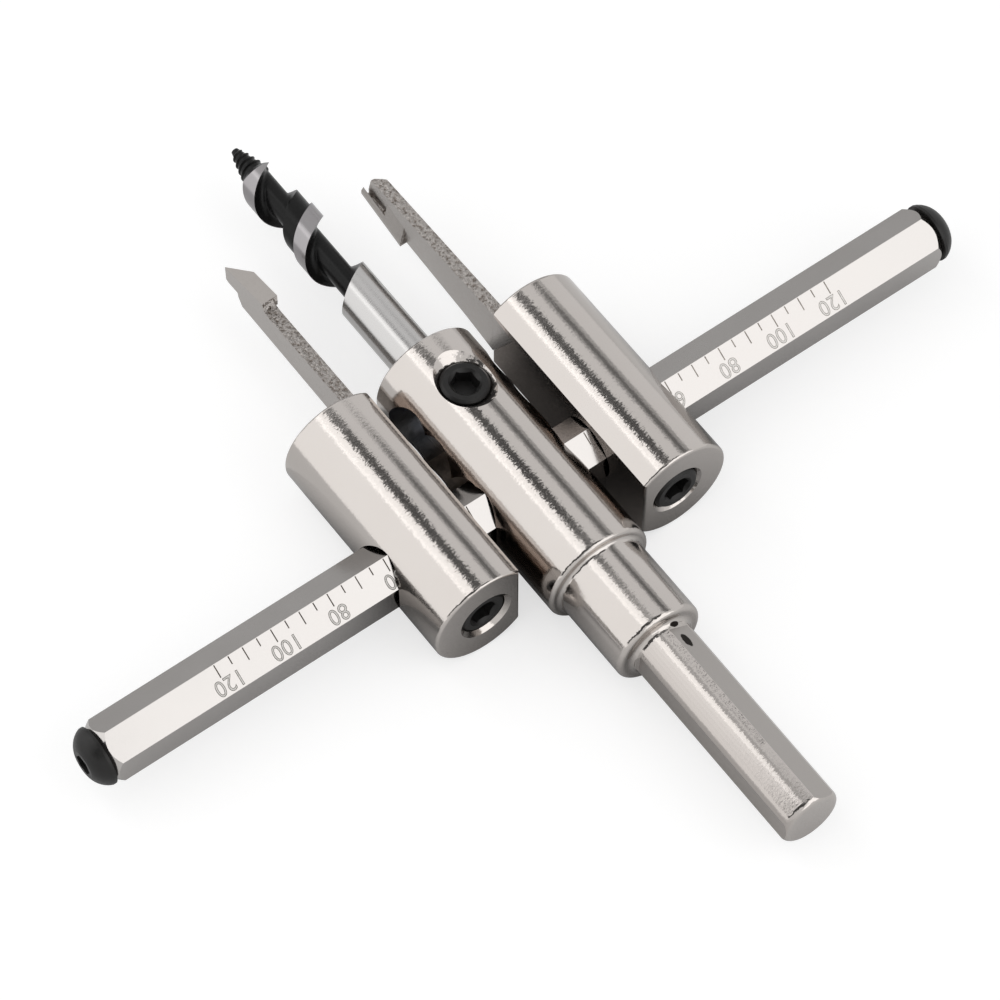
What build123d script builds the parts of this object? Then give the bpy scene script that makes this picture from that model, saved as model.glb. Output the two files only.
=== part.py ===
from build123d import *
import math
import os

# Adjustable circle cutter, in millimetres, lying flat.
# Y runs along the shank and the pilot bit, with the shank on the -Y side.
# X runs along the cross bar, and +Z is up.
# The origin is the centre of the shank's shoulder, where a drill chuck stops.

# Shank, neck and hub, turned as one piece about the Y axis
shank_diameter = 10.0
shank_length = 35.7
shank_end_rounding = 1.0
shank_root_rounding = 1.0
flat_count = 3
flat_distance = 4.55
flat_gap = 0.5
flat_runout = 0.5
flat_clocking = 32.0
neck_diameter = 14.8
neck_length = 14.6
neck_rounding = 0.9
neck_root_rounding = 0.65
hub_diameter = 17.8
hub_length = 44.0
hub_rounding = 0.7
hub_front_chamfer = 0.3

# Places along the hub: the bar from its rear face, the pilot screw from its front face,
# and the recesses from the bar forwards
bar_setback = 18.6
pilot_screw_setback = 9.4
pilot_screw_lean = 6.5
recess_offsets = (2.2, 11.0, 17.0)
recess_diameters = (9.6, 10.0, 10.0)
recess_floor = 4.6

# Cross bar, a hexagon with one corner up
bar_across_flats = 8.9
bar_length = 152.0
bar_end_diameter = 8.0
bar_end_taper = 1.4
bar_clearance = 0.07

# Scale on the bar: a mark for diameter D lies this far inside half of D
scale_offset = 4.24
reading_left = 31.5
reading_right = 32.1

# Blade holders
holder_diameter = 17.8
holder_flat = 6.1
holder_front = 24.1
holder_rear_left = 14.4
holder_rear_right = 13.8
holder_rounding = 0.5

# Screws: the holders' and the pilot's share one thread
set_screw_diameter = 7.6
set_screw_socket = 4.0
set_screw_socket_depth = 2.6
set_screw_mouth = 5.1
set_screw_mouth_depth = 0.5
set_screw_chamfer = 0.4
pilot_socket_turn = 30.0
holder_screw_length = 9.4
pilot_screw_length = 4.1
holder_hole_chamfer = 0.65
pilot_hole_sink = 1.7
lock_screw_diameter = 6.0
lock_screw_length = 6.0
lock_screw_socket = 3.0
lock_screw_socket_depth = 2.5
lock_screw_gap = 0.55
screw_clearance = 0.05
tip_gap = 0.03

# Button-headed screws in the bar's ends
end_screw_diameter = 5.0
end_screw_length = 10.0
end_hole_depth = 12.0
head_diameter = 9.5
head_height = 2.75
head_rim = 0.45
head_top_diameter = 4.6
head_bulge = 0.4
head_socket = 3.0
head_socket_depth = 1.6

# Pilot bit, an auger with one spiral land and a lower shoulder beside it
pilot_diameter = 7.6
pilot_clearance = 0.05
pilot_stand_out = 17.95
pilot_end_slope = 30.0
pilot_pitch = 13.4
pilot_spiral_length = 27.8
pilot_shoulder_length = 14.6
pilot_shoulder_setback = 2.2
pilot_core_diameter = 3.8
pilot_land_angle = 83.0
pilot_land_clocking = -17.0
pilot_shoulder_diameter = 6.7
pilot_shoulder_angle = 90.0
pilot_flute_rounding = 1.1
pilot_front_bevel = 0.9
lead_screw_diameter = 4.4
lead_screw_length = 5.9
lead_screw_tip = 1.2

# Shared by several pieces: the slope of every countersink and tapered mouth, the largest
# share of a wall that a rounding takes, and how closely a radius is matched
countersink_slope = 45
rounding_share = 0.95
match = 1e-4

# Blades: flat bars let into the holders' front ends
blade_thickness_left = 2.2
blade_thickness_right = 2.0
blade_inset = 0.1
slot_clearance = 0.04
nose_fall_left = 3.7
nose_fall_right = 3.0

# Sizes worked out from the ones above
shank_radius = shank_diameter / 2
neck_radius = neck_diameter / 2
hub_radius = hub_diameter / 2
hub_rear = neck_length
hub_front = hub_rear + hub_length
bar_y = hub_rear + bar_setback
bar_corner = bar_across_flats / 2 / math.cos(math.pi / 6)
bar_bore = bar_corner + bar_clearance
bar_half = bar_length / 2
bar_flat_y = bar_across_flats / 2
pilot_radius = pilot_diameter / 2
lock_tip = bar_y + bar_flat_y
pilot_rear = lock_tip + lock_screw_length + lock_screw_gap
pilot_depth = hub_front - pilot_rear
pilot_screw_y = hub_front - pilot_screw_setback
set_screw_hole = set_screw_diameter / 2 + screw_clearance
holder_radius = holder_diameter / 2
slope_run = pilot_radius * math.tan(math.radians(pilot_end_slope))
reach = hub_diameter


def square_plane(y, turn=90):
    """The plane square to the shank's axis at y, facing forwards.

    turn is where its x axis points, in degrees from +Z towards +X.
    """
    angle = math.radians(turn)
    return Plane(origin=(0, y, 0), x_dir=(math.sin(angle), 0, math.cos(angle)), z_dir=(0, 1, 0))


def leaning_plane(height):
    """The plane square to the pilot screw's axis, at a height along it from the shank's axis."""
    lean = math.radians(pilot_screw_lean)
    centre = Plane(
        origin=(0, pilot_screw_y, 0),
        x_dir=(math.cos(lean), 0, -math.sin(lean)),
        z_dir=(math.sin(lean), 0, math.cos(lean)),
    )
    return centre.offset(height)


def across_plane(x):
    """The plane square to the bar at x, with the shank's axis and up as its own axes."""
    return Plane.YZ.offset(x)


os.makedirs("parts", exist_ok=True)

# Hub body: shank, neck and hub in one turned profile
with BuildPart() as hub_body:
    with BuildSketch(Plane.XY):
        with BuildLine():
            Polyline(
                (0, -shank_length),
                (shank_radius, -shank_length),
                (shank_radius, 0),
                (neck_radius, 0),
                (neck_radius, hub_rear),
                (hub_radius, hub_rear),
                (hub_radius, hub_front),
                (0, hub_front),
                close=True,
            )
        make_face()
    revolve(axis=Axis.Y)
    rims = hub_body.edges().filter_by(GeomType.CIRCLE).sort_by(Axis.Y)
    end_rim, root_rim = rims.filter_by(lambda e: abs(e.radius - shank_radius) < match)
    neck_rim, neck_root = rims.filter_by(lambda e: abs(e.radius - neck_radius) < match)
    hub_rear_rim, hub_front_rim = rims.filter_by(lambda e: abs(e.radius - hub_radius) < match)
    shoulder_wall = rounding_share * (neck_radius - shank_radius) / 2
    hub_wall = rounding_share * (hub_radius - neck_radius) / 2
    chamfer(hub_front_rim, hub_front_chamfer)
    fillet(end_rim, shank_end_rounding)
    fillet(root_rim, min(shank_root_rounding, shoulder_wall))
    fillet(neck_rim, min(neck_rounding, shoulder_wall))
    fillet(neck_root, min(neck_root_rounding, hub_wall))
    fillet(hub_rear_rim, min(hub_rounding, hub_wall))

    # Three flats for the chuck's jaws, each with a sloping run-out behind the shoulder
    for turn in range(flat_count):
        angle = math.radians(flat_clocking + turn * 360 / flat_count)
        flat_plane = Plane(
            origin=(0, 0, 0),
            x_dir=(0, 1, 0),
            z_dir=(math.cos(angle), 0, -math.sin(angle)),
        )
        with BuildSketch(flat_plane):
            with BuildLine():
                Polyline(
                    (-shank_length - reach, flat_distance),
                    (-flat_gap - flat_runout, flat_distance),
                    (-flat_gap, shank_radius),
                    (-flat_gap, shank_diameter),
                    (-shank_length - reach, shank_diameter),
                    close=True,
                )
            make_face()
        extrude(amount=shank_radius, both=True, mode=Mode.SUBTRACT)

    # Round bore for the cross bar, right through
    with BuildSketch(across_plane(0)):
        with Locations((bar_y, 0)):
            Circle(bar_bore)
    extrude(amount=reach, both=True, mode=Mode.SUBTRACT)

    # A row of overlapping drilled recesses in each side, ahead of the bar
    for side in (-1, 1):
        with BuildSketch(across_plane(side * recess_floor)):
            for forward, diameter in zip(recess_offsets, recess_diameters):
                with Locations((bar_y + forward, 0)):
                    Circle(diameter / 2)
        extrude(amount=side * reach, mode=Mode.SUBTRACT)

    # Pilot bore, the lock screw's hole behind it, and the pilot screw's hole from above
    with BuildSketch(square_plane(hub_front)):
        Circle(pilot_radius + pilot_clearance)
    extrude(amount=-pilot_depth, mode=Mode.SUBTRACT)
    with BuildSketch(square_plane(pilot_rear)):
        Circle(lock_screw_diameter / 2 + screw_clearance)
    extrude(amount=bar_y - pilot_rear, mode=Mode.SUBTRACT)
    with BuildSketch(leaning_plane(0)):
        Circle(set_screw_hole)
    extrude(amount=reach, mode=Mode.SUBTRACT)
    with BuildSketch(leaning_plane(hub_radius - pilot_hole_sink)):
        Circle(set_screw_hole)
    extrude(amount=2 * pilot_hole_sink, taper=-countersink_slope, mode=Mode.SUBTRACT)
hub_body.part.label = "hub_body"
export_step(hub_body.part, "parts/hub_body.step")

# Cross bar: a hexagon whose ends are turned down to a cone, with a tapped hole in each
with BuildPart() as cross_bar:
    with BuildSketch(across_plane(-bar_half)):
        with Locations((bar_y, 0)):
            RegularPolygon(bar_corner, 6, rotation=90)
    extrude(amount=bar_length)
    with BuildSketch(Plane.XY):
        with BuildLine():
            Polyline(
                (-bar_half, bar_y),
                (-bar_half, bar_y + bar_end_diameter / 2),
                (-bar_half + bar_end_taper, bar_y + bar_corner),
                (bar_half - bar_end_taper, bar_y + bar_corner),
                (bar_half, bar_y + bar_end_diameter / 2),
                (bar_half, bar_y),
                close=True,
            )
        make_face()
    revolve(axis=Axis((0, bar_y, 0), (1, 0, 0)), mode=Mode.INTERSECT)
    for side in (-1, 1):
        with BuildSketch(across_plane(side * bar_half)):
            with Locations((bar_y, 0)):
                Circle(end_screw_diameter / 2 + screw_clearance)
        extrude(amount=-side * end_hole_depth, mode=Mode.SUBTRACT)
cross_bar.part.label = "cross_bar"
export_step(cross_bar.part, "parts/cross_bar.step")

# Lock screw, hidden in the hub: it presses on the bar's front flat
with BuildPart() as bar_lock_screw:
    with BuildSketch(square_plane(lock_tip)):
        Circle(lock_screw_diameter / 2)
    extrude(amount=lock_screw_length)
    chamfer(bar_lock_screw.edges().filter_by(GeomType.CIRCLE), set_screw_chamfer)
    with BuildSketch(square_plane(lock_tip + lock_screw_length)):
        RegularPolygon(lock_screw_socket / 2, 6, major_radius=False)
    extrude(amount=-lock_screw_socket_depth, mode=Mode.SUBTRACT)
bar_lock_screw.part.label = "bar_lock_screw"
export_step(bar_lock_screw.part, "parts/bar_lock_screw.step")

# Pilot set screw, over the pilot bit's shank
with BuildPart() as pilot_set_screw:
    pilot_screw_foot = pilot_radius + tip_gap
    with BuildSketch(leaning_plane(pilot_screw_foot)):
        Circle(set_screw_diameter / 2)
    extrude(amount=pilot_screw_length)
    chamfer(pilot_set_screw.edges().filter_by(GeomType.CIRCLE), set_screw_chamfer)
    with BuildSketch(leaning_plane(pilot_screw_foot + pilot_screw_length)):
        RegularPolygon(set_screw_socket / 2, 6, major_radius=False, rotation=pilot_socket_turn)
    extrude(amount=-set_screw_socket_depth, mode=Mode.SUBTRACT)
    with BuildSketch(leaning_plane(pilot_screw_foot + pilot_screw_length)):
        Circle(set_screw_mouth / 2)
    extrude(amount=-set_screw_mouth_depth, taper=countersink_slope, mode=Mode.SUBTRACT)
pilot_set_screw.part.label = "pilot_set_screw"
export_step(pilot_set_screw.part, "parts/pilot_set_screw.step")

# Pilot bit: the spiral is a core with a land of full radius, twisted along its length.
# Along its middle a lower shoulder fills the angle beside the land.
shank_end = hub_front + pilot_stand_out
spiral_start = shank_end - slope_run
spiral_end = spiral_start + pilot_spiral_length
shoulder_end = spiral_end - pilot_shoulder_setback
shoulder_start = shoulder_end - pilot_shoulder_length
twist = 360 / pilot_pitch
core_radius = pilot_core_diameter / 2
shoulder_centre = -(pilot_land_angle + pilot_shoulder_angle) / 2


def twisted_length(start, end, sectors):
    """The bit's core with sectors beside it, each a centre angle, a radius and an angle."""
    clocking = pilot_land_clocking + twist * (start - spiral_start)
    with BuildSketch(square_plane(start, clocking)) as section:
        Circle(core_radius)
        for centre, radius, angle in sectors:
            with BuildLine():
                rim = CenterArc((0, 0), radius, centre - angle / 2, angle)
                Polyline(rim @ 1, (0, 0), rim @ 0)
            make_face()
        roots = section.vertices().filter_by(
            lambda v: abs(math.hypot(v.X, v.Y) - core_radius) < match
        )
        fillet(roots, pilot_flute_rounding)
    return Solid.extrude_linear_with_rotation(
        section.sketch.faces()[0],
        center=(0, start, 0),
        normal=(0, end - start, 0),
        angle=twist * (end - start),
    )


land_sector = (0, pilot_radius, pilot_land_angle)
shoulder_sector = (shoulder_centre, pilot_shoulder_diameter / 2, pilot_shoulder_angle)
rear_spiral = twisted_length(spiral_start, shoulder_start, [land_sector])
middle_spiral = twisted_length(shoulder_start, shoulder_end, [land_sector, shoulder_sector])
front_spiral = twisted_length(shoulder_end, spiral_end, [land_sector])

with BuildPart() as pilot_bit:
    with BuildSketch(square_plane(pilot_rear)):
        Circle(pilot_radius)
    extrude(amount=pilot_depth + pilot_stand_out + slope_run)
    sloping = Plane((0, shank_end, 0), z_dir=(0, 1, 0)).rotated((0, 0, pilot_end_slope))
    split(bisect_by=sloping, keep=Keep.BOTTOM)
    add(rear_spiral)
    add(middle_spiral)
    add(front_spiral)
    with BuildSketch(Plane.XY):
        with BuildLine():
            Polyline(
                (pilot_radius - pilot_front_bevel, spiral_end),
                (pilot_radius + pilot_front_bevel, spiral_end),
                (pilot_radius + pilot_front_bevel, spiral_end - 2 * pilot_front_bevel),
                close=True,
            )
        make_face()
    revolve(axis=Axis.Y, mode=Mode.SUBTRACT)
    with BuildSketch(Plane.XY):
        with BuildLine():
            Polyline(
                (0, spiral_end),
                (lead_screw_diameter / 2, spiral_end),
                (lead_screw_tip / 2, spiral_end + lead_screw_length),
                (0, spiral_end + lead_screw_length),
                close=True,
            )
        make_face()
    revolve(axis=Axis.Y)
pilot_bit.part.label = "pilot_bit"
export_step(pilot_bit.part, "parts/pilot_bit.step")


def make_holder(name, side, reading, rear, tail, thickness):
    """A round block cut flat towards the hub, bored for the bar, with a tapped hole and a slot."""
    flat_x = side * (reading / 2 - scale_offset)
    axis_x = flat_x + side * holder_flat
    with BuildPart() as holder:
        with BuildSketch(square_plane(bar_y - rear)):
            with Locations((axis_x, 0)):
                Circle(holder_radius)
            with Locations((flat_x - side * holder_radius / 2, 0)):
                Rectangle(holder_radius, holder_diameter, mode=Mode.SUBTRACT)
        extrude(amount=rear + holder_front)
        ends = holder.faces().filter_by(Axis.Y)
        fillet(ends.edges(), holder_rounding)
        with BuildSketch(across_plane(0)):
            with Locations((bar_y, 0)):
                Circle(bar_bore)
        extrude(amount=side * bar_half, mode=Mode.SUBTRACT)
        with BuildSketch(square_plane(bar_y - rear)):
            with Locations((axis_x, 0)):
                Circle(set_screw_hole)
        extrude(amount=rear, mode=Mode.SUBTRACT)
        with BuildSketch(square_plane(bar_y - rear)):
            with Locations((axis_x, 0)):
                Circle(set_screw_hole + holder_hole_chamfer)
        extrude(amount=holder_hole_chamfer, taper=countersink_slope, mode=Mode.SUBTRACT)
        with BuildSketch(across_plane(flat_x)):
            with BuildLine():
                Polyline(*[(bar_y + y, z) for y, z in tail], close=True)
            make_face()
            offset(amount=slot_clearance, kind=Kind.INTERSECTION)
        extrude(amount=side * (blade_inset + thickness + slot_clearance), mode=Mode.SUBTRACT)
    holder.part.label = name
    export_step(holder.part, f"parts/{name}.step")


def make_blade(name, side, reading, outline, thickness, lip, nose_fall):
    """A flat bar with a lip on its inner side, its nose cut slanting across."""
    inner_x = side * (reading / 2 - scale_offset + blade_inset)
    outer_x = inner_x + side * thickness
    lip_x = inner_x - side * lip["thickness"]
    tip_y, tip_z = lip["tip"]
    heel_y, heel_z = lip["heel"]
    with BuildPart() as blade:
        with BuildSketch(across_plane(inner_x)):
            with BuildLine():
                Polyline(*[(bar_y + y, z) for y, z in outline], close=True)
            make_face()
        extrude(amount=side * thickness)
        with BuildSketch(Plane.XZ.offset(-bar_y - heel_y)):
            with BuildLine():
                Polyline(
                    (inner_x, heel_z),
                    (lip_x, heel_z),
                    (lip_x, heel_z + lip["edge_rise"]),
                    (inner_x, heel_z + lip["rise"]),
                    close=True,
                )
            make_face()
        along_lip = Vector(0, tip_y - heel_y, tip_z - heel_z)
        extrude(amount=along_lip.length, dir=along_lip.normalized())
        if "groove" in lip:
            wall_x = lip_x + side * lip["groove_wall"]
            with BuildSketch(Plane.XZ.offset(-bar_y - tip_y)):
                with BuildLine():
                    Polyline(
                        (inner_x, tip_z + lip["groove_floor"]),
                        (wall_x, tip_z + lip["groove_floor"]),
                        (wall_x, tip_z + reach),
                        (inner_x, tip_z + reach),
                        close=True,
                    )
                make_face()
            extrude(amount=lip["groove"], mode=Mode.SUBTRACT)
        near_x, far_x = (outer_x, lip_x) if lip["point_outside"] else (lip_x, outer_x)
        with BuildSketch(Plane.XY):
            with BuildLine():
                Polyline(
                    (near_x, bar_y + tip_y),
                    (far_x, bar_y + tip_y - nose_fall),
                    (far_x, bar_y + tip_y + nose_fall),
                    (near_x, bar_y + tip_y + nose_fall),
                    close=True,
                )
            make_face()
        extrude(amount=reach, both=True, mode=Mode.SUBTRACT)
    blade.part.label = name
    export_step(blade.part, f"parts/{name}.step")


def make_holder_screw(name, side, reading):
    """The set screw in a holder's rear end, its tip on the bar's rear flat."""
    axis_x = side * (reading / 2 - scale_offset + holder_flat)
    tip_y = bar_y - bar_flat_y - tip_gap
    with BuildPart() as screw:
        with BuildSketch(square_plane(tip_y)):
            with Locations((axis_x, 0)):
                Circle(set_screw_diameter / 2)
        extrude(amount=-holder_screw_length)
        chamfer(screw.edges().filter_by(GeomType.CIRCLE), set_screw_chamfer)
        with BuildSketch(square_plane(tip_y - holder_screw_length)):
            with Locations((axis_x, 0)):
                RegularPolygon(set_screw_socket / 2, 6, major_radius=False)
        extrude(amount=set_screw_socket_depth, mode=Mode.SUBTRACT)
        with BuildSketch(square_plane(tip_y - holder_screw_length)):
            with Locations((axis_x, 0)):
                Circle(set_screw_mouth / 2)
        extrude(amount=set_screw_mouth_depth, taper=countersink_slope, mode=Mode.SUBTRACT)
    screw.part.label = name
    export_step(screw.part, f"parts/{name}.step")


def make_end_screw(name, side):
    """A button-headed screw in the bar's end, its domed head outwards."""
    seat = side * bar_half
    rim = Vector(seat + side * head_rim, bar_y + head_diameter / 2)
    crown = Vector(seat + side * head_height, bar_y + head_top_diameter / 2)
    outwards = Vector(side * (rim - crown).Y, side * (crown - rim).X).normalized()
    with BuildPart() as screw:
        with BuildSketch(Plane.XY):
            with BuildLine():
                Polyline(
                    crown,
                    (crown.X, bar_y),
                    (seat - side * end_screw_length, bar_y),
                    (seat - side * end_screw_length, bar_y + end_screw_diameter / 2),
                    (seat, bar_y + end_screw_diameter / 2),
                    (seat, rim.Y),
                    rim,
                )
                ThreePointArc(rim, (rim + crown) / 2 + outwards * head_bulge, crown)
            make_face()
        revolve(axis=Axis((0, bar_y, 0), (1, 0, 0)))
        with BuildSketch(across_plane(seat + side * head_height)):
            with Locations((bar_y, 0)):
                RegularPolygon(head_socket / 2, 6, major_radius=False)
        extrude(amount=-side * head_socket_depth, mode=Mode.SUBTRACT)
    screw.part.label = name
    export_step(screw.part, f"parts/{name}.step")


# Blade outlines seen from +X, as distances in front of the bar's axis and heights.
# The tail of each is what lies in its holder's slot.
tail_left = (
    (holder_front, -5.0),
    (18.7, -5.0),
    (22.0, 1.7),
    (holder_front, 1.7),
)
lip_left = {
    "tip": (57.6, 1.1),
    "heel": (47.7, 2.9),
    "rise": -2.4,
    "edge_rise": -2.4,
    "thickness": 0.6,
    "point_outside": True,
}
outline_left = (
    lip_left["tip"],
    (57.5, -2.1),
    (56.7, -2.3),
    (54.5, -2.2),
    (54.3, -3.2),
    (53.4, -4.7),
    *tail_left,
    (46.0, 1.2),
    (47.2, 1.4),
    lip_left["heel"],
)
tail_right = (
    (holder_front, 5.9),
    (19.1, 4.9),
    (holder_front, -3.9),
)
lip_right = {
    "tip": (57.0, -0.1),
    "heel": (46.9, -2.5),
    "rise": 4.4,
    "edge_rise": 0.8,
    "thickness": 0.8,
    "groove": 5.8,
    "groove_floor": 0.5,
    "groove_wall": 0.25,
    "point_outside": False,
}
outline_right = (
    (56.4, 0.3),
    (55.5, 4.4),
    (54.6, 4.7),
    (53.0, 4.8),
    *tail_right,
    (31.0, -2.8),
    (46.4, -1.4),
    lip_right["heel"],
    lip_right["tip"],
)

make_holder("holder_left", -1, reading_left, holder_rear_left, tail_left, blade_thickness_left)
make_holder("holder_right", 1, reading_right, holder_rear_right, tail_right, blade_thickness_right)
make_blade(
    "blade_left", -1, reading_left, outline_left, blade_thickness_left, lip_left, nose_fall_left
)
make_blade(
    "blade_right", 1, reading_right, outline_right, blade_thickness_right, lip_right, nose_fall_right
)
make_holder_screw("holder_set_screw_left", -1, reading_left)
make_holder_screw("holder_set_screw_right", 1, reading_right)
make_end_screw("end_screw_left", -1)
make_end_screw("end_screw_right", 1)
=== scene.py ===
import math

import bmesh
import bpy
from mathutils import Matrix, Vector


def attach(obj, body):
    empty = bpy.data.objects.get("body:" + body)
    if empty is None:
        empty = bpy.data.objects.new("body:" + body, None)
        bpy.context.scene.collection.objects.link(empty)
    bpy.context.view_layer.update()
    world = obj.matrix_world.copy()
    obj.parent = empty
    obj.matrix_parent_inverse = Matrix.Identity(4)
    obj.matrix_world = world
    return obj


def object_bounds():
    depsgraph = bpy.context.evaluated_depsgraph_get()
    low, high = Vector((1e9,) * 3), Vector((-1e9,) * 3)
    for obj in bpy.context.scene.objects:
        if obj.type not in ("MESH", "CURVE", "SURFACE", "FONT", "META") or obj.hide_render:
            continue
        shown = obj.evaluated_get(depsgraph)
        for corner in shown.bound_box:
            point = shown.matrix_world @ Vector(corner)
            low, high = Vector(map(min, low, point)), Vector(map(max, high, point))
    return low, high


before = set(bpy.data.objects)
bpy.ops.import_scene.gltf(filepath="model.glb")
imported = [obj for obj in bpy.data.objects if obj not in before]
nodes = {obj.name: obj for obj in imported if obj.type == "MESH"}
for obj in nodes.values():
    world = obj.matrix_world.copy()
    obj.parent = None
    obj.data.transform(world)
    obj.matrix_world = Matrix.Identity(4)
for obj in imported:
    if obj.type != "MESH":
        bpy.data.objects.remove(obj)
cad_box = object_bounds()
MM = 0.001


# Camera, at the photograph's place: a long lens above the shank's left side
CAMERA_PLACE = Vector((-0.2497, -0.3001, 0.6872))
CAMERA_RIGHT = Vector((0.8055, -0.5926, 0.0))
CAMERA_UP = Vector((0.5076, 0.6899, 0.5162))
CAMERA_ANGLE = 10.515

camera_data = bpy.data.cameras.new("camera")
camera_data.sensor_fit = "HORIZONTAL"
camera_data.angle = math.radians(CAMERA_ANGLE)
camera_data.clip_end = 10
camera = bpy.data.objects.new("camera", camera_data)
bpy.context.scene.collection.objects.link(camera)
bpy.context.scene.camera = camera
right = CAMERA_RIGHT.normalized()
back = right.cross(CAMERA_UP).normalized()
up = back.cross(right)
turn = Matrix((right, up, back)).transposed()
camera.matrix_world = Matrix.Translation(CAMERA_PLACE) @ turn.to_4x4()


# Node helpers
class Graph:
    """A material's or the world's node tree, with short calls for what is used often."""

    def __init__(self, owner):
        owner.use_nodes = True
        self.tree = owner.node_tree
        self.tree.nodes.clear()

    def add(self, kind, inputs=None, **settings):
        node = self.tree.nodes.new(kind)
        for name, value in settings.items():
            setattr(node, name, value)
        for name, value in (inputs or {}).items():
            if isinstance(value, bpy.types.NodeSocket):
                self.tree.links.new(value, node.inputs[name])
            else:
                node.inputs[name].default_value = value
        return node

    def place(self):
        """A point of the piece in metres, which rides along when its body moves."""
        return self.add("ShaderNodeTexCoord").outputs["Object"]

    def skin(self, output="True Normal"):
        """The mesh's own normal, before any bump."""
        return self.add("ShaderNodeNewGeometry").outputs[output]

    def split(self, vector):
        return self.add("ShaderNodeSeparateXYZ", {0: vector}).outputs

    def scaled(self, vector, scale):
        node = self.add("ShaderNodeVectorMath", {0: vector, 1: scale}, operation="MULTIPLY")
        return node.outputs[0]

    def math(self, operation, a, b=0.0, c=0.0):
        node = self.add("ShaderNodeMath", {0: a, 1: b, 2: c}, operation=operation)
        return node.outputs[0]

    def times(self, a, b):
        return self.math("MULTIPLY", a, b)

    def plus(self, a, b):
        return self.math("ADD", a, b)

    def inside(self, value, low, high):
        above = self.math("GREATER_THAN", value, low)
        return self.times(above, self.math("LESS_THAN", value, high))

    def axis_radius(self, x, z):
        """How far a point is from the shank's axis."""
        return self.math("SQRT", self.plus(self.times(x, x), self.times(z, z)))

    def noise(self, vector, scale, detail=3.0, rough=0.5):
        node = self.add(
            "ShaderNodeTexNoise",
            {"Vector": vector, "Scale": scale, "Detail": detail, "Roughness": rough},
        )
        return node.outputs["Fac"]

    def span(self, value, low, high, to_low, to_high):
        node = self.add(
            "ShaderNodeMapRange",
            {
                "Value": value,
                "From Min": low,
                "From Max": high,
                "To Min": to_low,
                "To Max": to_high,
            },
        )
        return node.outputs["Result"]

    def blend(self, factor, a, b):
        node = self.add("ShaderNodeMix", data_type="RGBA")
        for socket, value in ((0, factor), (6, a), (7, b)):
            if isinstance(value, bpy.types.NodeSocket):
                self.tree.links.new(value, node.inputs[socket])
            else:
                node.inputs[socket].default_value = value
        return node.outputs[2]

    def bump(self, height, distance, strength=1.0, normal=None):
        inputs = {"Height": height, "Distance": distance, "Strength": strength}
        if normal is not None:
            inputs["Normal"] = normal
        return self.add("ShaderNodeBump", inputs).outputs["Normal"]

    def lean(self, normal, direction, amount):
        """A normal that leans towards a direction."""
        inputs = {0: direction, 1: amount, 2: normal}
        moved = self.add("ShaderNodeVectorMath", inputs, operation="MULTIPLY_ADD").outputs[0]
        return self.add("ShaderNodeVectorMath", {0: moved}, operation="NORMALIZE").outputs[0]

    def principled(self, inputs):
        return self.add("ShaderNodeBsdfPrincipled", inputs).outputs[0]

    def surface(self, shader, kind="ShaderNodeOutputMaterial"):
        self.tree.links.new(shader, self.add(kind).inputs["Surface"])


def new_material(name):
    material = bpy.data.materials.new(name)
    return material, Graph(material)


def grey(level, warmth=0.0):
    return (level * (1 + warmth), level, level * (1 - 0.75 * warmth), 1.0)


# Noise scales are in waves per metre.
GRAIN, WAVES, PATCHES = 2300.0, 420.0, 90.0

# Tool marks: fine along Y, longer round the piece, and strongest in a band left of the top
MARKS_SCALE = (2100.0, 6000.0, 2100.0)
RIPPLE_SIDE, RIPPLE_HALF, RIPPLE_FADE = 0.17, 0.13, 0.312
RIPPLE_ELSEWHERE = 0.2

# Rims: blots that lean the normal along Y, where the skin turns towards an end
BLOTS = 800.0
RIM_LEAN = 0.95


# Bright nickel plating: a mirror with fine grain and faint waves in it
def plating(name, colour, warmth, rough, ripple, grain_depth, wave_depth, wear_and_shade=None):
    """ripple is how far the tool marks lean round the Y axis, mostly where a piece faces up
    and to the left. The last argument, if given, changes the shader's inputs by place: wear,
    finish, painted shade and painted light."""
    material, g = new_material(name)
    at = g.place()
    grain = g.noise(at, GRAIN, 2.0, 0.6)
    marks = g.noise(g.scaled(at, MARKS_SCALE), 1.0, 2.0, 0.6)
    waves = g.noise(at, WAVES, 2.0, 0.5)
    patches = g.noise(at, PATCHES, 3.0, 0.6)
    darker = grey(colour * 0.97, warmth * 1.1)
    lighter = grey(colour * 1.03, warmth * 0.9)
    inputs = {
        "Base Color": g.blend(patches, darker, lighter),
        "Metallic": 1.0,
        "Roughness": g.span(patches, 0.3, 0.7, rough * 0.85, rough * 1.15),
    }
    depth = wear_and_shade(g, at, inputs) if wear_and_shade else 1.0
    normal = g.bump(waves, wave_depth, depth)
    normal = g.bump(grain, grain_depth, depth, normal)
    if ripple:
        skin = g.skin("Normal")
        sideways, forwards, _ = g.split(skin)
        cross = {0: (0, 1, 0), 1: skin}
        around = g.add("ShaderNodeVectorMath", cross, operation="CROSS_PRODUCT").outputs[0]
        off_band = g.math("ABSOLUTE", g.plus(sideways, RIPPLE_SIDE))
        share = g.span(off_band, RIPPLE_HALF, RIPPLE_FADE, 1.0, RIPPLE_ELSEWHERE)
        amount = g.times(g.times(share, depth), ripple)
        normal = g.lean(normal, around, g.times(g.math("SUBTRACT", marks, 0.5), amount))
        tilt = g.math("ABSOLUTE", forwards)
        rim = g.times(g.span(tilt, 0.01, 0.06, 0.0, 1.0), g.span(tilt, 0.7, 0.95, 1.0, 0.0))
        blots = g.math("SUBTRACT", g.noise(at, BLOTS, 3.0, 0.7), 0.5)
        normal = g.lean(normal, (0, 1, 0), g.times(blots, g.times(rim, RIM_LEAN)))
    inputs["Normal"] = normal
    g.surface(g.principled(inputs))
    return material
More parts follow.
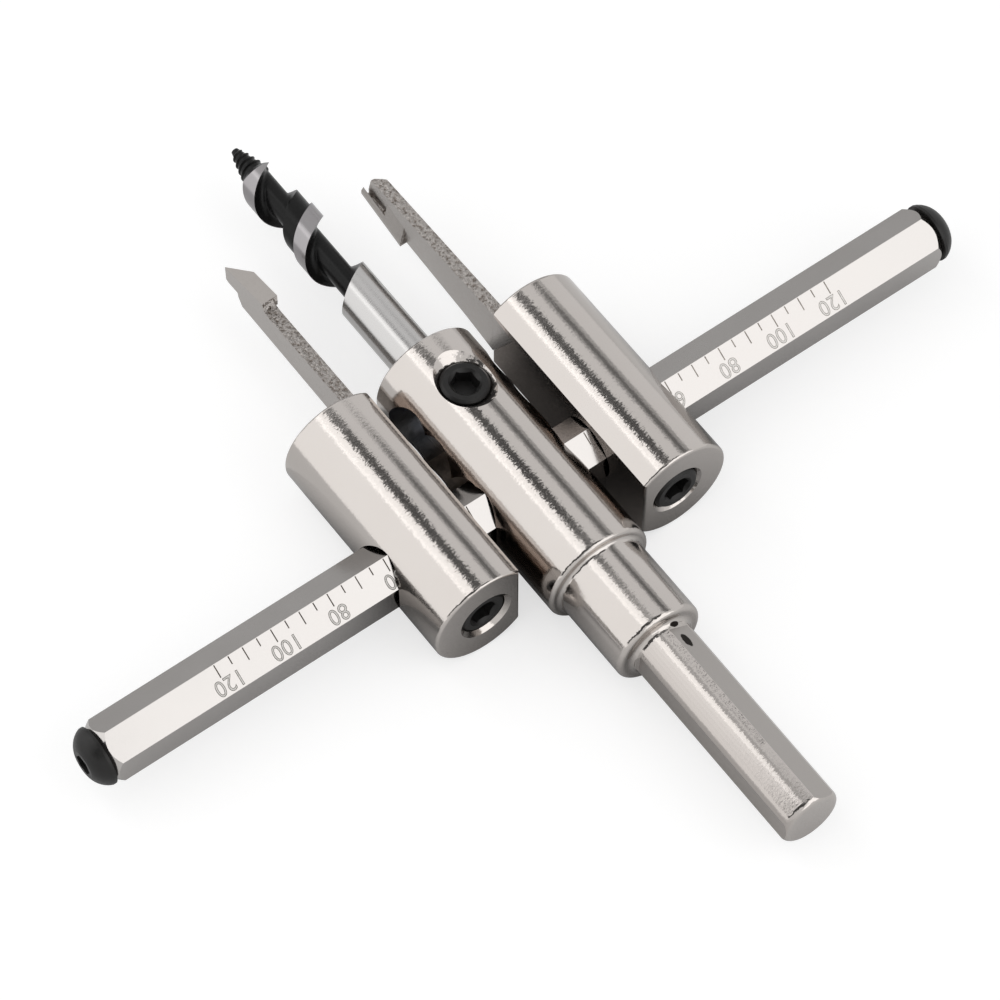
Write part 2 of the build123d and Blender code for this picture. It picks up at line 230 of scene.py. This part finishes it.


# The hub's skin is bright down to INSIDE_RADIUS, or to RECESS_RADIUS within the recesses' height.
# Below it the skin is smooth and its colour is painted shade, brown, and bluish from BLUE_START.
INSIDE_START, INSIDE_END = 20 * MM, 58 * MM
INSIDE_RADIUS, RECESS_RADIUS, RECESS_HEIGHT = 7.1 * MM, 8.75 * MM, 5.1 * MM
INSIDE_SHADE_TINT, INSIDE_ROUGH, INSIDE_SMOOTHING = grey(0.22, 0.14), 0.34, 0.9
BLUE_START, BLUE_WIDTH, INSIDE_SHADE_BLUE = 48 * MM, 4 * MM, (0.3, 0.32, 0.35, 1)

# The shank: satin flats, painted shade on its left side, and a rubbed band beside the upper flat
SHANK_RADIUS, FLAT_RADIUS, FLAT_END = 5.2 * MM, 4.96 * MM, -0.6 * MM
FLAT_TINT, FLAT_ROUGH = grey(0.36, 0.06), 0.36
LEFT_SHADE_TINT = grey(0.37, 0.08)
RUB_LEFT, RUB_RIGHT, RUB_HEIGHT, RUB_END = -0.3 * MM, 0.75 * MM, 4.0 * MM, -24 * MM
RUB_EDGE, RUB_STRENGTH = 0.8 * MM, 3.0

# Dark spots at the shank's root, each a centre and how far it reaches along X and Y
DARK_SPOTS = ((2.0 * MM, -3.5 * MM, 0.6 * MM, 1.3 * MM), (1.95 * MM, -0.55 * MM, 0.8 * MM, 0.32 * MM))
DARK_SPOT_TINT = grey(0.012, 0.2)


# Wear, finish and painted shade on the hub and its shank
def hub_wear(g, at, inputs):
    x, y, z = g.split(at)
    radius = g.axis_radius(x, z)
    facing_x, facing_y, _ = g.split(g.skin())
    recess = g.math("LESS_THAN", g.math("ABSOLUTE", z), RECESS_HEIGHT)
    recess = g.times(g.math("LESS_THAN", radius, RECESS_RADIUS), recess)
    within = g.math("MAXIMUM", g.math("LESS_THAN", radius, INSIDE_RADIUS), recess)
    within = g.times(within, g.inside(y, INSIDE_START, INSIDE_END))

    behind = g.math("LESS_THAN", y, FLAT_END)
    square_on = g.math("LESS_THAN", g.math("ABSOLUTE", facing_y), 0.02)
    flats = g.times(g.times(g.math("LESS_THAN", radius, FLAT_RADIUS), behind), square_on)
    # Painted shade where the shank faces left
    left_shade = g.times(g.math("LESS_THAN", radius, SHANK_RADIUS), behind)
    left_shade = g.times(left_shade, g.span(facing_x, -0.85, -0.25, 1.0, 0.0))
    ragged = g.times(g.math("SUBTRACT", g.noise(at, 900.0, 3.0, 0.7), 0.5), RUB_EDGE)
    rub = g.inside(g.plus(x, ragged), RUB_LEFT, RUB_RIGHT)
    rub = g.times(rub, g.math("GREATER_THAN", z, RUB_HEIGHT))
    rub = g.times(rub, g.inside(y, RUB_END, FLAT_END))

    # Painted shade inside the hub's bore and recesses, bluish towards the front
    blue = g.span(y, BLUE_START, BLUE_START + BLUE_WIDTH, 0, 1)
    tint = g.blend(within, inputs["Base Color"], g.blend(blue, INSIDE_SHADE_TINT, INSIDE_SHADE_BLUE))
    tint = g.blend(flats, tint, FLAT_TINT)
    tint = g.blend(left_shade, tint, LEFT_SHADE_TINT)
    edge = g.times(g.noise(at, 1400.0, 2.0, 0.6), 0.9)
    for spot_x, spot_y, half_x, half_y in DARK_SPOTS:
        across = g.math("DIVIDE", g.math("SUBTRACT", x, spot_x), half_x)
        along = g.math("DIVIDE", g.math("SUBTRACT", y, spot_y), half_y)
        reach = g.plus(g.times(across, across), g.times(along, along))
        spot = g.span(g.plus(reach, edge), 1.25, 1.5, 1.0, 0.0)
        spot = g.times(spot, g.math("GREATER_THAN", z, 0.0))
        tint = g.blend(spot, tint, DARK_SPOT_TINT)
    inputs["Base Color"] = tint
    rough = g.blend(within, inputs["Roughness"], (INSIDE_ROUGH,) * 3 + (1,))
    inputs["Roughness"] = g.blend(flats, rough, (FLAT_ROUGH,) * 3 + (1,))
    depth = g.math("SUBTRACT", 1.0, g.times(within, INSIDE_SMOOTHING))
    return g.plus(depth, g.times(rub, RUB_STRENGTH))


# Painted light: a paler, browner colour for the holders' shaded inner flats
INNER_PAINTED_LIGHT, INNER_ROUGH = (0.6, 0.52, 0.47, 1), 0.17


def holder_wear(g, at, inputs):
    """A paler, browner colour painted on the flat inner sides to lift their shaded reflection,
    and a softer finish there.
    """
    x, facing_x = g.split(at)["X"], g.split(g.skin())["X"]
    flat = g.math("LESS_THAN", g.times(g.math("SIGN", x), facing_x), -0.98)
    # Painted light on the flat inner sides
    inputs["Base Color"] = g.blend(flat, inputs["Base Color"], INNER_PAINTED_LIGHT)
    inputs["Roughness"] = g.blend(flat, inputs["Roughness"], (INNER_ROUGH,) * 3 + (1,))
    return 1.0


nickel = plating("nickel", 0.465, 0.07, 0.12, 0.26, 0.009 * MM, 0.01 * MM, holder_wear)
nickel_hub = plating("nickel_hub", 0.465, 0.07, 0.12, 0.26, 0.009 * MM, 0.01 * MM, hub_wear)
nickel_bar = plating("nickel_bar", 0.465, 0.045, 0.16, 0.0, 0.005 * MM, 0.006 * MM)


# Black oxide on the screws
def black_oxide(name, level, rough):
    material, g = new_material(name)
    at = g.place()
    grain = g.noise(at, 3200.0, 3.0, 0.65)
    patches = g.noise(at, 500.0, 3.0, 0.6)
    inputs = {
        "Base Color": g.blend(patches, grey(level * 0.7, 0.03), grey(level * 1.5, 0.03)),
        "Metallic": 0.6,
        "Roughness": g.span(patches, 0.3, 0.7, rough * 0.8, rough * 1.2),
        "Normal": g.bump(grain, 0.012 * MM),
    }
    g.surface(g.principled(inputs))
    return material


oxide = black_oxide("oxide", 0.02, 0.42)

LUMPS, SWELLS, BLADE_GRAIN = 1700.0, 500.0, 3000.0
LUMP_DEPTH, SWELL_DEPTH, BLADE_GRAIN_DEPTH = 0.5 * MM, 0.03 * MM, 0.012 * MM
BLADE_PIT_TINT = grey(0.12, 0.22)


# Blades: plated castings, rough on their narrow faces, brown in their pits
def blade_steel(name, level, worn_from, worn_to):
    """The narrow faces are rough from worn_from to worn_to along Y, and smoother elsewhere.
    The faces towards the shank have bright chips."""
    material, g = new_material(name)
    at = g.place()
    lumps = g.noise(at, LUMPS, 3.0, 0.65)
    swells = g.noise(at, SWELLS, 2.0, 0.5)
    grain = g.noise(at, BLADE_GRAIN, 2.0, 0.6)
    facing_x, facing_y, _ = g.split(g.skin())
    side_on = g.math("ABSOLUTE", facing_x)
    wear_and_shade = g.inside(g.split(at)["Y"], worn_from, worn_to)
    rough_share = g.times(g.span(side_on, 0.5, 0.9, 1.0, 0.08), g.span(wear_and_shade, 0, 1, 0.06, 1.0))
    normal = g.bump(g.times(lumps, rough_share), LUMP_DEPTH)
    normal = g.bump(swells, SWELL_DEPTH, 1.0, normal)
    normal = g.bump(grain, BLADE_GRAIN_DEPTH, 1.0, normal)
    rearwards = g.span(facing_y, -0.95, -0.8, 1.0, 0.0)
    chips = g.times(rearwards, g.span(lumps, 0.42, 0.5, 0.0, 1.1))
    pits = g.times(g.span(lumps, 0.32, 0.54, 1.0, 0.0), rough_share)
    inputs = {
        "Base Color": g.blend(pits, grey(level, 0.07), BLADE_PIT_TINT),
        "Metallic": 1.0,
        "Roughness": g.span(side_on, 0.5, 0.9, 0.3, 0.27),
        "Normal": g.lean(normal, (0, 0, 1), chips),
    }
    g.surface(g.principled(inputs))
    return material


blade_left_steel = blade_steel("blade_left_steel", 0.38, 57.3 * MM, 80.93 * MM)
blade_right_steel = blade_steel("blade_right_steel", 0.4, 57.3 * MM, 95.0 * MM)


# Pilot bit: ground bright on its shank and on the land's outer face, black elsewhere
PILOT_RADIUS, LAND_START = 3.8 * MM, 79 * MM
GROUND_TINT, LAND_TINT = grey(0.46, 0.02), (0.29, 0.278, 0.283, 1)
GRIND_SCALE, SPECKLE = (300.0, 4200.0, 300.0), 2600.0


def bit_steel(name):
    material, g = new_material(name)
    at = g.place()
    x, y, z = g.split(at)
    wobble = g.times(g.noise(at, 900.0, 3.0, 0.6), 0.1 * MM)
    radius = g.plus(g.axis_radius(x, z), wobble)
    outer = g.span(radius, PILOT_RADIUS - 0.06 * MM, PILOT_RADIUS - 0.01 * MM, 0, 1)
    grain = g.noise(g.scaled(at, GRIND_SCALE), 1.0, 3.0, 0.6)
    speckle = g.noise(at, SPECKLE, 3.0, 0.7)
    bright = g.principled(
        {
            "Base Color": g.blend(g.math("GREATER_THAN", y, LAND_START), GROUND_TINT, LAND_TINT),
            "Metallic": 1.0,
            "Roughness": 0.22,
            "Normal": g.bump(grain, 0.01 * MM),
        }
    )
    black = g.principled(
        {
            "Base Color": g.blend(speckle, grey(0.003), grey(0.012)),
            "Metallic": 0.2,
            "Roughness": 0.27,
            "Specular IOR Level": 0.18,
            "Normal": g.bump(speckle, 0.03 * MM),
        }
    )
    g.surface(g.add("ShaderNodeMixShader", {0: outer, 1: black, 2: bright}).outputs[0])
    return material


FINISHES = {
    "hub_body": nickel_hub,
    "cross_bar": nickel_bar,
    "bar_lock_screw": oxide,
    "pilot_bit": bit_steel("bit_steel"),
    "pilot_set_screw": oxide,
    "holder_left": nickel,
    "holder_right": nickel,
    "blade_left": blade_left_steel,
    "blade_right": blade_right_steel,
    "holder_set_screw_left": oxide,
    "holder_set_screw_right": oxide,
    "end_screw_left": oxide,
    "end_screw_right": oxide,
}
for name, material in FINISHES.items():
    data = nodes[name].data
    data.materials.clear()
    data.materials.append(material)


def add_piece(name, data, material):
    data.materials.append(material)
    piece = bpy.data.objects.new(name, data)
    bpy.context.scene.collection.objects.link(piece)
    return piece


def add_mesh(name, build, material, body):
    """A new mesh piece that build fills, riding on a body."""
    data = bpy.data.meshes.new(name)
    mesh = bmesh.new()
    build(mesh)
    bmesh.ops.recalc_face_normals(mesh, faces=mesh.faces)
    mesh.to_mesh(data)
    mesh.free()
    piece = add_piece(name, data, material)
    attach(piece, body)


# Marks on the bar: one facet carries a mark every 2.5 mm, for every 5 mm of diameter
BAR_Y = 33.2 * MM
ACROSS = 8.9 * MM
FACET_OUT = Vector((0, -0.5, math.sqrt(3) / 2))
FACET_DOWN = Vector((0, -math.sqrt(3) / 2, -0.5))
CORNER = Vector((0, BAR_Y, ACROSS / math.sqrt(3)))
SCALE_OFFSET = 4.24 * MM
FIRST_MARK, LAST_MARK, MARK_STEP = 30, 120, 5
LONG_MARK, SHORT_MARK = 2.1 * MM, 1.3 * MM
MARK_WIDTH = 0.19 * MM
MARK_START = 0.12 * MM
MARK_PROUD = 0.012 * MM
FLOOR_PROUD = 0.004 * MM
NUMBER_STEP = 20
NUMBER_HEIGHT = 2.4 * MM
NUMBER_FOOT = 2.45 * MM
NUMBER_LINE, NUMBER_FLOOR = 0.035 * MM, -0.05 * MM
NUMBER_SQUEEZE, NUMBER_SPACING = 0.93, 1.05
CAP_HEIGHT = 0.7  # of Blender's font, as a share of its size
NUMBER_SHIFTS = {
    ("left", 120): 0.75 * MM,
    ("left", 100): 0.75 * MM,
    ("right", 120): -0.4 * MM,
    ("right", 100): -0.3 * MM,
}


# Engraved marks and numbers: a brown outline round a paler floor, fainter on the right arm
def engraved(name, dark, light):
    material, g = new_material(name)
    fade = g.noise(g.place(), 1500.0, 3.0, 0.7)
    inputs = {
        "Base Color": g.blend(g.span(fade, 0.35, 0.65, 0, 1), dark, light),
        "Metallic": 0.3,
        "Roughness": 0.6,
        "Normal": g.bump(fade, 0.02 * MM),
    }
    g.surface(g.principled(inputs))
    return material


LINE_LOOKS = {
    "left": engraved("engraved_left", (0.06, 0.05, 0.04, 1), (0.16, 0.14, 0.12, 1)),
    "right": engraved("engraved_right", (0.22, 0.19, 0.17, 1), (0.42, 0.38, 0.34, 1)),
}
FLOOR_LOOKS = {
    "left": engraved("number_floor_left", (0.6, 0.58, 0.55, 1), (0.8, 0.78, 0.75, 1)),
    "right": engraved("number_floor_right", (0.75, 0.73, 0.7, 1), (0.86, 0.84, 0.81, 1)),
}

# A number's layers: how far its outline is grown, how far it stands out, and its looks
LAYERS = {
    "line": (NUMBER_LINE, MARK_PROUD, LINE_LOOKS),
    "floor": (NUMBER_FLOOR, MARK_PROUD + FLOOR_PROUD, FLOOR_LOOKS),
}


def on_facet(x, down, out):
    return Vector((x, 0, 0)) + CORNER + FACET_DOWN * down + FACET_OUT * out


def mark_box(mesh, x, width, start, end):
    corners = [
        mesh.verts.new(on_facet(x + dx * width / 2, down, out))
        for out in (-MARK_PROUD, MARK_PROUD)
        for dx, down in ((-1, start), (1, start), (1, end), (-1, end))
    ]
    sides = [(i, (i + 1) % 4, (i + 1) % 4 + 4, i + 4) for i in range(4)]
    for face in [(0, 1, 2, 3), (4, 5, 6, 7)] + sides:
        mesh.faces.new([corners[i] for i in face])


def add_number(name, diameter, x, layer, label):
    grow, proud, looks = LAYERS[layer]
    text = bpy.data.curves.new(name, "FONT")
    text.body = str(diameter)
    text.align_x = "CENTER"
    text.size = NUMBER_HEIGHT / CAP_HEIGHT
    text.space_character = NUMBER_SPACING
    text.offset = grow
    text.extrude = proud
    text.resolution_u = 6
    piece = add_piece(name, text, looks[label])
    turn = Matrix((Vector((-NUMBER_SQUEEZE, 0, 0)), FACET_DOWN, FACET_OUT)).transposed().to_4x4()
    piece.matrix_world = Matrix.Translation(on_facet(x, NUMBER_FOOT, 0)) @ turn
    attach(piece, "hub_and_bar")


for label, side in (("left", -1), ("right", 1)):

    def mark_place(diameter):
        return side * (diameter / 2 * MM - SCALE_OFFSET)

    def build_marks(mesh):
        for diameter in range(FIRST_MARK, LAST_MARK + 1, MARK_STEP):
            length = SHORT_MARK if diameter % (2 * MARK_STEP) else LONG_MARK
            mark_box(mesh, mark_place(diameter), MARK_WIDTH, MARK_START, MARK_START + length)

    add_mesh(f"scale_marks_{label}", build_marks, LINE_LOOKS[label], "hub_and_bar")
    for diameter in range(2 * NUMBER_STEP, LAST_MARK + 1, NUMBER_STEP):
        x = mark_place(diameter) + NUMBER_SHIFTS.get((label, diameter), 0.0)
        for layer in LAYERS:
            add_number(f"number_{layer}_{label}_{diameter}", diameter, x, layer, label)


# The lead screw's thread, a ridge wound round its cone
SPIRAL_END = 102.16 * MM
LEAD_LENGTH = 5.9 * MM
LEAD_BASE, LEAD_TIP = 2.2 * MM, 0.6 * MM
THREAD_PITCH = 1.15 * MM
THREAD_HEIGHT = 0.26 * MM
THREAD_FOOT = 0.62 * MM
THREAD_SINK = 0.12 * MM
THREAD_STEPS = 28
THREAD_LEAST = 0.05 * MM
# The ridge starts and stops this share of a pitch from the cone's ends
THREAD_INSET = 0.3


def build_thread(mesh):
    turns = (LEAD_LENGTH - THREAD_PITCH * 2 * THREAD_INSET) / THREAD_PITCH
    count = int(turns * THREAD_STEPS)
    rings = []
    for i in range(count + 1):
        share = i / count
        angle = 2 * math.pi * turns * share
        y = SPIRAL_END + THREAD_PITCH * THREAD_INSET + share * turns * THREAD_PITCH
        core = LEAD_BASE + (LEAD_TIP - LEAD_BASE) * (y - SPIRAL_END) / LEAD_LENGTH
        fade = min(1.0, share * 6, (1 - share) * 5 + 0.25)
        ring = []
        for dy, dr in ((-0.5, -THREAD_SINK), (0.0, THREAD_HEIGHT * fade), (0.5, -THREAD_SINK)):
            r = max(core + dr, THREAD_LEAST)
            corner = (r * math.sin(angle), y + dy * THREAD_FOOT, r * math.cos(angle))
            ring.append(mesh.verts.new(corner))
        rings.append(ring)
    for first, second in zip(rings, rings[1:]):
        for k in range(3):
            n = (k + 1) % 3
            mesh.faces.new((first[k], first[n], second[n], second[k]))
    mesh.faces.new(rings[0])
    mesh.faces.new(list(reversed(rings[-1])))


thread_black = black_oxide("thread_black", 0.012, 0.35)
add_mesh("lead_screw_thread", build_thread, thread_black, "pilot")


def add_staged(name, corners, faces, material):
    """A piece of the studio."""
    data = bpy.data.meshes.new(name)
    data.from_pydata(corners, [], faces)
    piece = add_piece(name, data, material)
    return piece


# Floor, white in pictures and in reflections, lit by the world and the lamps. Its reflections
# are darker near the object, out to NEAR_DISTANCE, but not from SHADE_END on along Y.
FLOOR_Z = cad_box[0].z
FLOOR_HALF = 3.0
FLOOR_COLOUR = 0.5
CAMERA_GLOW, MIRROR_GLOW = 0.63, 0.42
NEAR_DISTANCE, NEAR_SAMPLES, NEAR_POWER = 30 * MM, 4, 1.4
SHADE_END, SHADE_FADE = 60.3 * MM, 1.5 * MM

paper, g = new_material("paper")
path = g.add("ShaderNodeLightPath").outputs
mirrored = g.math("MAXIMUM", path["Is Glossy Ray"], path["Is Transmission Ray"])
nearness = g.add("ShaderNodeAmbientOcclusion", {"Distance": NEAR_DISTANCE}, samples=NEAR_SAMPLES)
openness = g.math("POWER", nearness.outputs["AO"], NEAR_POWER)
lit_end = g.span(g.split(g.place())["Y"], SHADE_END, SHADE_END + SHADE_FADE, 0.0, 1.0)
openness = g.math("MAXIMUM", openness, lit_end)
shade = g.times(mirrored, g.math("SUBTRACT", 1.0, openness))
camera_glow = g.times(path["Is Camera Ray"], CAMERA_GLOW)
mirror_glow = g.times(g.times(mirrored, MIRROR_GLOW), openness)
glow = {"Color": (1, 1, 1, 1), "Strength": g.plus(camera_glow, mirror_glow)}
glow = g.add("ShaderNodeEmission", glow).outputs[0]
diffuse = {"Color": g.blend(shade, grey(FLOOR_COLOUR), grey(0.0))}
diffuse = g.add("ShaderNodeBsdfDiffuse", diffuse).outputs[0]
g.surface(g.add("ShaderNodeAddShader", {0: diffuse, 1: glow}).outputs[0])
square = ((-1, -1), (1, -1), (1, 1), (-1, 1))
floor_corners = [(x * FLOOR_HALF, y * FLOOR_HALF, FLOOR_Z) for x, y in square]
add_staged("floor", floor_corners, [(0, 1, 2, 3)], paper)

# World, white where it is seen or mirrored, and a softer light elsewhere
WORLD_LIGHT = 0.55

world = bpy.data.worlds.new("studio")
bpy.context.scene.world = world
g = Graph(world)
path = g.add("ShaderNodeLightPath").outputs
shown = g.math("MAXIMUM", path["Is Glossy Ray"], path["Is Transmission Ray"])
shown = g.math("MAXIMUM", path["Is Camera Ray"], shown)
background = {"Color": (1, 1, 1, 1), "Strength": g.span(shown, 0, 1, WORLD_LIGHT, 1.0)}
g.surface(g.add("ShaderNodeBackground", background).outputs[0], "ShaderNodeOutputWorld")


# Every round piece lies along Y, so what it mirrors to the camera lies on one cone about Y.
# A place in the studio is an angle round that cone, from up towards +X, and a distance.
CONE_Y = 0.4158
CONE_SIDE = math.sqrt(1 - CONE_Y**2)


def on_cone(angle, distance, forward=0.0):
    """A frame there: X goes round the cone, Y roughly forwards, and Z away from the object."""
    a = math.radians(angle)
    away = Vector((CONE_SIDE * math.sin(a), CONE_Y, CONE_SIDE * math.cos(a)))
    around = Vector((math.cos(a), 0, -math.sin(a)))
    along = away.cross(around)
    turn = Matrix((around, along, away)).transposed().to_4x4()
    return Matrix.Translation(away * distance + along * forward) @ turn


def facing(place):
    """A frame at a place with its Z axis away from the object."""
    away = Vector(place).normalized()
    return Matrix.Translation(place) @ away.to_track_quat("Z", "Y").to_matrix().to_4x4()


def softbox(name, at, width, length, radiance):
    light = bpy.data.lights.new(name, "AREA")
    light.shape = "RECTANGLE"
    light.size, light.size_y = width, length
    light.energy = radiance * math.pi * width * length
    lamp = bpy.data.objects.new(name, light)
    bpy.context.scene.collection.objects.link(lamp)
    lamp.matrix_world = at
    lamp.visible_camera = False


def card(name, corners, level):
    """A grey card that only reflections see, as a studio sets round bright metal."""
    material, g = new_material(name)
    g.surface(g.add("ShaderNodeEmission", {"Color": grey(level)}).outputs[0])
    faces = [(i, i + 1, i + 3, i + 2) for i in range(0, len(corners) - 2, 2)]
    piece = add_staged(name, corners, faces, material)
    piece.visible_camera = False
    piece.visible_diffuse = False
    piece.visible_transmission = False
    piece.visible_shadow = False


def flag(name, at, width, length, level):
    """A flat card at a frame."""
    ends = [(x * width / 2, y * length / 2, 0) for x in (-1, 1) for y in (-1, 1)]
    card(name, [at @ Vector(end) for end in ends], level)


def arch(name, radius, near, far, first, last, level, step=5):
    """A card bent round the Y axis from angle first to last, and from y near to far."""
    corners = []
    for angle in range(first, last + step, step):
        a = math.radians(angle)
        corners += [(radius * math.sin(a), y, radius * math.cos(a)) for y in (near, far)]
    card(name, corners, level)


# Angles are in degrees and the rest in metres. A white card's radiance is 1, and the lamps add
# theirs to the white world behind them.
softbox("left_box", on_cone(-55, 0.7), 0.84, 1.2, 0.5)
softbox("left_strip", on_cone(-15.5, 0.7), 0.19, 1.2, 0.8)
softbox("rear_box", facing(Vector((0.306, -0.534, 0.789)) * 0.75), 0.42, 0.34, 0.9)
softbox("low_box", facing(Vector((0.31, -0.84, 0.43)) * 0.75), 0.75, 0.36, 0.9)
flag("top_flag", on_cone(1, 0.29, 0.03), 0.075, 0.06, 0.11)
flag("top_flag_rear", on_cone(0, 0.29, -0.075), 0.05, 0.15, 0.66)
flag("right_flag", on_cone(41, 0.34, -0.095), 0.045, 0.3, 0.2)
flag("right_flag_rim", on_cone(42, 0.345, -0.095), 0.11, 0.3, 0.52)
flag("front_flag", facing((0.2, 0.65, 0.08)), 1.0, 0.36, 0.56)
arch("arch_flag", 0.36, -0.1, 0.089, -75, 25, 0.1)
arch("arch_flag_left", 0.355, -0.2, -0.09, -45, 0, 0.08)

bpy.context.scene.view_settings.view_transform = "Standard"
